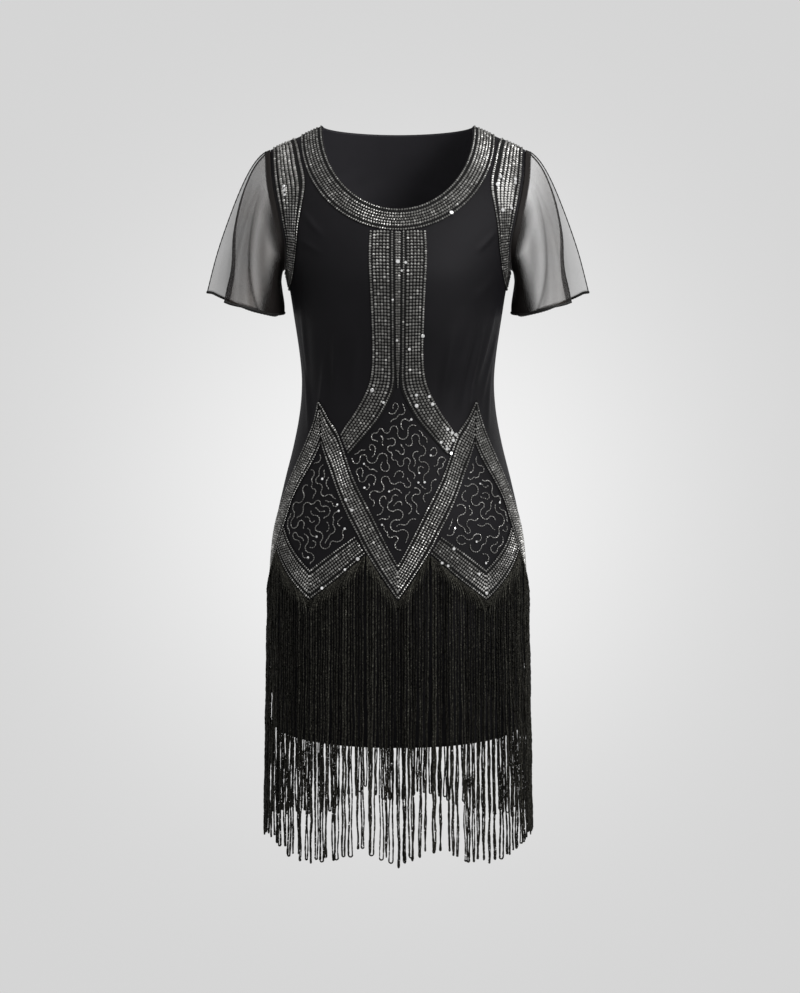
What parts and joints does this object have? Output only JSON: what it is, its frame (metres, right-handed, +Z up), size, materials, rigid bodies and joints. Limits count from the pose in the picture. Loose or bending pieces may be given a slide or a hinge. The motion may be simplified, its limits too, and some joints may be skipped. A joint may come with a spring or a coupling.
{
  "type": "fringe dress",
  "caption": "Worn-form flapper dress: beaded bands in a zigzag at the hip, sheer flutter sleeves and long yarn fringe over a knee-length skirt.",
  "frame": {"origin": "midway between the shoulders, level with the neck end of the shoulder seams, where the wearer holds the dress up", "axes": "+Z up the body, front faces -Y, +X towards the wearer's left"},
  "size_m": [0.517, 0.274, 0.9904],
  "materials": {
    "cloth": "black stretch jersey, soft matt sheen",
    "net": "sheer black net",
    "beadwork": "rows of small gunmetal and silver beads sewn on",
    "fringe": "black looped chainette fringe"
  },
  "bodies": {
    "root": {"body_front": "cloth", "body_back": "cloth", "sleeve_left_front": "net", "sleeve_left_back": "net", "sleeve_right_front": "net", "sleeve_right_back": "net", "neck_band_front": "beadwork", "neck_band_back": "beadwork", "armhole_band_front_left": "beadwork", "armhole_band_front_right": "beadwork", "armhole_band_back_left": "beadwork", "armhole_band_back_right": "beadwork", "placket_left": "beadwork", "placket_right": "beadwork", "placket_strip": "beadwork", "centre_v_front": "beadwork", "centre_v_back": "beadwork", "side_arm_front_left": "beadwork", "side_arm_front_right": "beadwork", "side_arm_back_left": "beadwork", "side_arm_back_right": "beadwork", "low_v_front_left": "beadwork", "low_v_front_right": "beadwork", "low_v_back_left": "beadwork", "low_v_back_right": "beadwork", "fringe_front_centre": "fringe", "fringe_front_left": "fringe", "fringe_front_right": "fringe", "fringe_side_left": "fringe", "fringe_side_right": "fringe", "fringe_back_left": "fringe", "fringe_back_right": "fringe", "fringe_back_centre": "fringe"}
  },
  "joints": []
}
